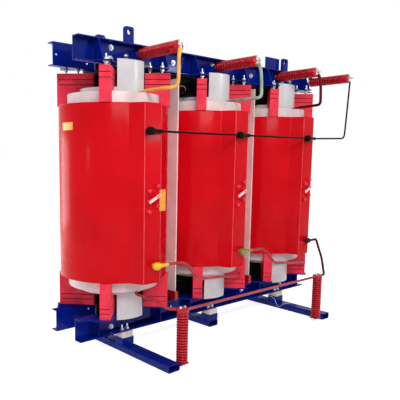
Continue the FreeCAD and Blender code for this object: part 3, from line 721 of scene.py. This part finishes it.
def addLugs():
    meshes = []
    studs = []
    for nodeName, offset in lugOffsets.items():
        low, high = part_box(nodeName)
        x, _, z = (low + high) / 2 / mm
        top = (x, lug["palmFront"], z + lug["barrelTop"])
        foot = (x + offset, lug["barrelY"], z + lug["barrelFoot"])
        meshes += [palm(x, z), roundBar(lug["barrelRadius"], foot, top)]
        studs.append(Vector((x, lug["palmFront"], z)) * mm)
    addPiece("leadLugs", meshes, "link_metal")
    addPiece("bushingStuds", bakeFasteners(studs, towardFront, endStud), "zinc_steel")


addLugs()


# Boots: dipped covers over the terminals, turned about the lead's axis. Rows are distance along X and radius.
bootProfile = ((-24, 0), (-24, 6), (-22.5, 11), (-18, 16), (-11, 19.5), (-3, 21), (5, 20.4), (13, 18),
               (21, 14.8), (29, 12), (38, 10.2), (48, 9.5), (60, 9.5), (68, 10.2), (73, 10.6), (74.5, 9.6),
               (74.5, 0))
terminal = {"y": -383, "bossFace": -356, "lowerX": -8, "lowerZ": 519, "upperX": -60, "upperZ": 1203,
            "neckRadius": 12}
coils = {"a": -683, "b": 0, "c": 683}
slimBoots = {"c": 0.86}
latheSides = 36


def lathe(profile, place, slimness=1.0, turn=Matrix.Identity(4)):
    # A shape turned about X, from rows of distance along the axis and radius
    work = bmesh.new()
    rings = []
    for along, radius in profile:
        spots = [(along, 0, 0)]
        if radius:
            angles = [2 * math.pi * i / latheSides for i in range(latheSides)]
            spots = [(along, slimness * radius * math.cos(a), slimness * radius * math.sin(a)) for a in angles]
        rings.append([work.verts.new(Vector(spot) * mm) for spot in spots])
    for low, high in zip(rings, rings[1:]):
        for i in range(latheSides):
            corners = [low[i % len(low)], low[(i + 1) % len(low) % latheSides],
                       high[(i + 1) % len(high) % latheSides], high[i % len(high)]]
            work.faces.new(list(dict.fromkeys(corners)))
    bmesh.ops.recalc_face_normals(work, faces=work.faces)
    bmesh.ops.transform(work, matrix=Matrix.Translation(Vector(place) * mm) @ turn, verts=work.verts)
    return meshFrom(work)


def boot(x, z, slimness=1.0):
    neck = roundBar(terminal["neckRadius"] * slimness, (x, terminal["bossFace"], z), (x, terminal["y"], z))
    return [lathe(bootProfile, (x, terminal["y"], z), slimness), neck]


def addBoots():
    for letter, x in coils.items():
        nodeName = "lower_boot_" + letter
        meshes = boot(x + terminal["lowerX"], terminal["lowerZ"], slimBoots.get(letter, 1.0))
        addPiece(pieceName(nodeName, "Dipped"), meshes, slotOf[nodeName], [nodeName])
    meshes = []
    for x in coils.values():
        meshes += boot(x + terminal["upperX"], terminal["upperZ"])
    addPiece("neutralBootsShrunk", meshes, "black_sleeve", ["neutral_boots"])


addBoots()

# Tap studs: round resin heads on the boss, each drawn as the moulder leaves it
tapStudProfile = ((0, 0), (0, 11.5), (12, 11.5), (17, 10.8), (20, 9), (21, 6.5), (21, 3.5), (19.5, 3),
                  (19.5, 0))
tapPlaces = ((-50, 22), (-50, -31), (-50, -84), (5, 46), (5, -3), (5, -56))
windingMiddle = 884
towardFrontFromX = Matrix.Rotation(math.radians(-90), 4, "Z")


def addTapStuds():
    places = [(x + across, terminal["bossFace"], windingMiddle + up)
              for x in coils.values() for across, up in tapPlaces]
    meshes = [lathe(tapStudProfile, place, turn=towardFrontFromX) for place in places]
    addPiece("tapStudsTurned", meshes, "tap_resin", ["tap_studs"], sharpAngle=50)


# Painted highlights: paler red lines along both rounded edges of each boss
flash = {"edges": ((-73.5, -354.6), (35.5, -354.2)), "radius": 1.7, "low": 427, "high": 1341, "sides": 8}


def addEdgeHighlightLines():
    meshes = [roundBar(flash["radius"], (x + across, y, flash["low"]), (x + across, y, flash["high"]),
                       flash["sides"]) for x in coils.values() for across, y in flash["edges"]]
    addPiece("bossFlashLines", meshes, "flash")


addTapStuds()
addEdgeHighlightLines()
print("boots, lugs and tap studs fitted")


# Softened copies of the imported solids: merged, flats joined again, edges rounded as the maker leaves them
coilEdgeRounds = {"upper_blocks": 1.0, "lower_blocks": 1.0, "inner_winding": 2.0, "outer_winding": 3.0}
beams = ("upper_front_beam", "upper_rear_beam", "lower_front_beam", "lower_rear_beam")
edgeRounds = {
    **{word + "_" + letter: size for word, size in coilEdgeRounds.items() for letter in coils},
    **{beam: 0.9 for beam in beams},
    "foot_pads": 1.5, "lifting_lugs": 1.5, "name_plate_carrier": 1.0, "end_bracket": 1.0,
    "insulator_hardware": 0.7, "board_clips": 0.6, "tap_links": 0.8, "post_brackets": 0.8,
    "phase_board_ab": 0.8, "phase_board_bc": 0.8,
}
bevelSettings = {"flatAngle": 0.4, "segments": 2, "sharpest": 35, "shadingAngle": 60}


def softenNode(nodeName, roundSize):
    work = mergedCopy(nodeName)
    bmesh.ops.dissolve_limit(work, angle_limit=math.radians(bevelSettings["flatAngle"]), verts=work.verts,
                             edges=work.edges)
    carrier = newObject("softenCarrier", meshFrom(work))
    bevel = carrier.modifiers.new("edges", "BEVEL")
    bevel.width = roundSize * mm
    bevel.segments = bevelSettings["segments"]
    bevel.limit_method = "ANGLE"
    bevel.angle_limit = math.radians(bevelSettings["sharpest"])
    bevel.use_clamp_overlap = True
    soft = plainMesh(carrier)
    # A bevel across a mitred corner can push out, so each point is held inside the solid's own box
    low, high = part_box(nodeName)
    for vert in soft.vertices:
        vert.co = [min(max(value, least), most) for value, least, most in zip(vert.co, low, high)]
    piece = addPiece(pieceName(nodeName, "Softened"), soft, slotOf[nodeName], [nodeName],
                     bevelSettings["shadingAngle"])
    if "winding" not in nodeName:
        piece.modifiers.new("flats", "WEIGHTED_NORMAL").keep_sharp = True
    # The phase boards take the copy with painted red bounce light
    if nodeName.startswith("phase_board"):
        piece.data.materials[0] = materials["board_sheet"]


for nodeName, roundSize in edgeRounds.items():
    softenNode(nodeName, roundSize)
print("edges softened:", len(edgeRounds))

for nodeName, node in nodes.items():
    node.data.materials.clear()
    node.data.materials.append(materials[slotOf[nodeName]])


# Weld beads: a rippled bead along each carrier edge, where every second ring swells
weld = {"Bead Radius": 3.0, "Ripple": 3.5}
weldGap = {"thinnest": 7, "fromEnd": 4, "sideInset": 8, "railHeight": 40, "railRuns": (86, 156)}
bead = {"sides": 8, "narrow": 0.85, "swell": 0.3}


def makeWeldTree():
    tree, take, target = newTree("weldBead", {"Geometry": ["Geometry"], "Float": ["Bead Radius", "Ripple"],
                                              "Material": ["Material"]})
    curve = addNode(tree, "GeometryNodeMeshToCurve", {"Mesh": take["Geometry"]})
    fine = addNode(tree, "GeometryNodeResampleCurve", {"Curve": curve, "Length": take["Ripple"]}, mode="LENGTH")
    number = addNode(tree, "GeometryNodeInputIndex")
    odd = addNode(tree, "ShaderNodeMath", {0: number, 1: 2.0}, operation="MODULO")
    share = addNode(tree, "ShaderNodeMath",
                    {0: odd, 1: bead["swell"], 2: bead["narrow"]}, operation="MULTIPLY_ADD")
    radius = addNode(tree, "ShaderNodeMath", {0: share, 1: take["Bead Radius"]}, operation="MULTIPLY")
    finishTree(tree, take, target, sweep(tree, fine, radius, bead["sides"]))
    return tree


weldTree = makeWeldTree()


def weldLines(nodeName):
    # Both edges where each gusset meets the web, found as the tall thin solids of a beam
    lines = []
    for low, _, high in looseParts(nodeName):
        if high.x - low.x > weldGap["thinnest"] * mm:
            continue
        wallY = high.y if low.y < 0 else low.y
        for x in (low.x, high.x):
            if abs(x) + weld["Bead Radius"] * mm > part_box(nodeName)[1].x:
                continue
            lines += [(x, wallY, low.z + weldGap["fromEnd"] * mm), (x, wallY, high.z - weldGap["fromEnd"] * mm)]
    return lines


def railLines(nodeName):
    # Where each rail's two raised stubs stand on it
    low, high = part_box(nodeName)
    near, far = weldGap["railRuns"]
    lines = []
    for side in (-1, 1):
        for x in (low.x + weldGap["sideInset"] * mm, high.x - weldGap["sideInset"] * mm):
            lines += [(x, side * y * mm, weldGap["railHeight"] * mm) for y in (near, far)]
    return lines


def addWelds():
    points = []
    for nodeName in beams:
        points += weldLines(nodeName)
    for nodeName in ("left_rail", "middle_rail", "right_rail"):
        points += railLines(nodeName)
    edges = [(i, i + 1) for i in range(0, len(points), 2)]
    mesh = bakeTree(weldTree, "blue_paint", weld, dots(points, edges))
    addPiece("weldBeads", mesh, "blue_paint", sharpAngle=80)


addWelds()
print("welds laid")


# The photo shows the core end inside the outer blocks, and those blocks reach in to it
core = {"end": 745, "blockInner": 108, "blockJoin": 172.5, "blockOuter": 309, "half": 28.5, "seamInset": 2.6,
        "seamStart": 0.5, "seamOverlap": 0.3, "round": 0.9, "upper": (1431, 1521), "lower": (232, 337),
        "upperGrooves": (1459, 1486), "lowerGrooves": (263, 290), "grooveHeight": 4}
blockAngles = (45, 135, 225, 315)
outerBlocks = (("a", 135), ("a", 225), ("c", 45), ("c", 315))


def shortenNode(nodeName):
    work = mergedCopy(nodeName)
    for side in (-1, 1):
        everything = work.verts[:] + work.edges[:] + work.faces[:]
        bmesh.ops.bisect_plane(work, geom=everything, plane_co=(side * core["end"] * mm, 0, 0),
                               plane_no=(side, 0, 0), clear_outer=True)
    bmesh.ops.holes_fill(work, edges=[edge for edge in work.edges if edge.is_boundary], sides=0)
    bmesh.ops.recalc_face_normals(work, faces=work.faces)
    addPiece(pieceName(nodeName, "Trimmed"), meshFrom(work), slotOf[nodeName], [nodeName])


def radialBox(x, angle, inner, outer, half, low, high, roundSize):
    # A box that lies along a radius of the coil
    work = bmesh.new()
    bmesh.ops.create_cube(work, size=1.0)
    size = Matrix.Diagonal(((outer - inner) * mm, 2 * half * mm, (high - low) * mm, 1))
    middle = Matrix.Translation(Vector(((inner + outer) / 2, 0, (low + high) / 2)) * mm)
    turn = Matrix.Translation((x * mm, 0, 0)) @ Matrix.Rotation(math.radians(angle), 4, "Z")
    bmesh.ops.transform(work, matrix=turn @ middle @ size, verts=work.verts)
    if roundSize:
        bmesh.ops.bevel(work, geom=work.edges[:], offset=roundSize * mm, segments=bevelSettings["segments"],
                        profile=0.5, affect="EDGES")
    return meshFrom(work)


def addBlockRoots():
    meshes = []
    for letter, angle in outerBlocks:
        for word in ("upper", "lower"):
            low, high = core[word]
            grooves = core[word + "Grooves"]
            feet = [low, *[groove + core["grooveHeight"] for groove in grooves]]
            for foot, top in zip(feet, [*grooves, high]):
                meshes.append(radialBox(coils[letter], angle, core["blockInner"], core["blockJoin"],
                                        core["half"], foot, top, core["round"]))
    addPiece("blockRoots", meshes, "block_resin")


# Painted shade: dark strips laid in each block's grooves, just above their floors
def addGrooveShadeStrips():
    meshes = []
    half = core["half"] - core["seamInset"]
    outer = core["blockOuter"] - core["seamInset"]
    for letter, x in coils.items():
        for angle in blockAngles:
            inner = core["blockInner"] if (letter, angle) in outerBlocks else core["blockJoin"]
            for groove in core["upperGrooves"] + core["lowerGrooves"]:
                foot = groove - core["seamOverlap"]
                top = groove + core["grooveHeight"] + core["seamOverlap"]
                meshes.append(radialBox(x, angle, inner + core["seamStart"], outer, half, foot, top, 0))
    addPiece("blockSeams", meshes, "seam")


for nodeName in ("upper_yoke", "lower_yoke", "yoke_insulation", "core_limb_a", "core_limb_c"):
    shortenNode(nodeName)
addBlockRoots()
addGrooveShadeStrips()
print("core trimmed, blocks seamed")


# Blank film label on the left winding, bent to its round side
filmLabel = {"radius": 300.1, "thickness": 0.4, "low": 1209, "high": 1248, "width": 95, "middle": 180,
             "steps": 12}


def addLabel():
    work = bmesh.new()
    inner = filmLabel["radius"]
    outer = inner + filmLabel["thickness"]
    low, high, steps = filmLabel["low"], filmLabel["high"], filmLabel["steps"]
    halfAngle = filmLabel["width"] / inner / 2
    columns = []
    for i in range(steps + 1):
        angle = math.radians(filmLabel["middle"]) + halfAngle * (2 * i / steps - 1)
        corners = []
        for radius, z in ((inner, low), (inner, high), (outer, high), (outer, low)):
            spot = Vector((coils["a"] + radius * math.cos(angle), radius * math.sin(angle), z))
            corners.append(work.verts.new(spot * mm))
        columns.append(corners)
    for left, right in zip(columns, columns[1:]):
        for i in range(4):
            work.faces.new([left[i], left[(i + 1) % 4], right[(i + 1) % 4], right[i]])
    work.faces.new(columns[0])
    work.faces.new(columns[-1])
    bmesh.ops.recalc_face_normals(work, faces=work.faces)
    addPiece("blankLabel", meshFrom(work), "label")


addLabel()


# Stage, camera and light
camera = {"place": (-2.45141, -2.36811, 1.08255), "yaw": -0.7021, "pitch": 0.1305, "roll": -0.0084,
          "focalPixels": 526.40, "centre": (145.38, 224.61), "picture": 400, "sensor": 36}


def addCamera():
    data = bpy.data.cameras.new("photoCamera")
    data.sensor_width = camera["sensor"]
    data.lens = camera["focalPixels"] / camera["picture"] * camera["sensor"]
    data.shift_x = 0.5 - camera["centre"][0] / camera["picture"]
    data.shift_y = camera["centre"][1] / camera["picture"] - 0.5
    turn = (Matrix.Rotation(camera["yaw"], 4, "Z") @ Matrix.Rotation(math.pi / 2 - camera["pitch"], 4, "X")
            @ Matrix.Rotation(-camera["roll"], 4, "Z"))
    viewer = newObject("photoCamera", data)
    viewer.matrix_world = Matrix.Translation(camera["place"]) @ turn
    bpy.context.scene.camera = viewer


floorLook = {"reach": 60, "colour": "#F4F4F4", "roughness": 0.9, "glow": 0.7}
worldLook = {"lit": 0.42, "seen": 1.0}
white = (1, 1, 1, 1)


def seenRays(tree):
    # 1 for what the camera sees, in a reflection or through glass too, and 0 for light that falls on the object
    path = addNode(tree, "ShaderNodeLightPath").outputs
    seen = path["Is Camera Ray"]
    for ray in ("Is Glossy Ray", "Is Transmission Ray"):
        seen = addNode(tree, "ShaderNodeMath", {0: seen, 1: path[ray]}, operation="MAXIMUM")
    return seen


def addFloor():
    mesh = bpy.data.meshes.new("floor")
    reach = floorLook["reach"]
    corners = ((-reach, -reach, 0), (reach, -reach, 0), (reach, reach, 0), (-reach, reach, 0))
    mesh.from_pydata(corners, [], [(0, 1, 2, 3)])
    floor = newObject("floor", mesh)
    material = bpy.data.materials.new("paintedFloor")
    material.use_nodes = True
    tree = material.node_tree
    shader = tree.nodes["Principled BSDF"]
    shader.inputs["Base Color"].default_value = linear(floorLook["colour"])
    shader.inputs["Roughness"].default_value = floorLook["roughness"]
    shader.inputs["Specular IOR Level"].default_value = 0.0
    shader.inputs["Emission Color"].default_value = white
    # Lifts the floor toward white where it is seen, and keeps its shadow
    strength = addNode(tree, "ShaderNodeMath", {0: seenRays(tree), 1: floorLook["glow"]}, operation="MULTIPLY")
    tree.links.new(strength.outputs[0], shader.inputs["Emission Strength"])
    mesh.materials.append(material)


def addWorld():
    world = bpy.data.worlds.new("studio")
    bpy.context.scene.world = world
    world.use_nodes = True
    tree = world.node_tree
    background = tree.nodes["Background"]
    strength = addNode(tree, "ShaderNodeMapRange",
                       {"Value": seenRays(tree), "To Min": worldLook["lit"], "To Max": worldLook["seen"]})
    background.inputs["Color"].default_value = white
    tree.links.new(strength.outputs["Result"], background.inputs["Strength"])


# Place, aim, size and power
lamps = {
    "keySoftbox": ((-2.3, -3.6, 3.7), (-0.4, 0, 0.8), (2.4, 1.5), 122),
    "frontSoftbox": ((2.6, -3.6, 3.2), (0.3, 0, 0.8), (1.6, 1.6), 5),
    "rearSoftbox": ((0.5, 3.5, 3.0), (0, 0, 0.9), (2.5, 1.5), 45),
    "leftPanel": ((-2.0, 2.75, 0.85), (-0.98, 0, 0.85), (1.7, 1.5), 52),
    "upperStrip": ((-3.95, -0.1, 1.5), (-0.95, -0.13, 1.35), (0.3, 0.5), 3),
    "beamStrip": ((2.2, -3.3, 2.15), (-0.4, -0.14, 1.55), (0.9, 0.22), 14),
}


def addLamps():
    for name, (place, aim, size, power) in lamps.items():
        data = bpy.data.lights.new(name, "AREA")
        data.shape = "RECTANGLE"
        data.size, data.size_y = size
        data.energy = power
        light = newObject(name, data)
        light.location = place
        light.rotation_euler = (Vector(aim) - Vector(place)).to_track_quat("-Z", "Y").to_euler()


addCamera()
addFloor()
addWorld()
addLamps()
bpy.context.scene.view_settings.view_transform = "Standard"
print("stage set")
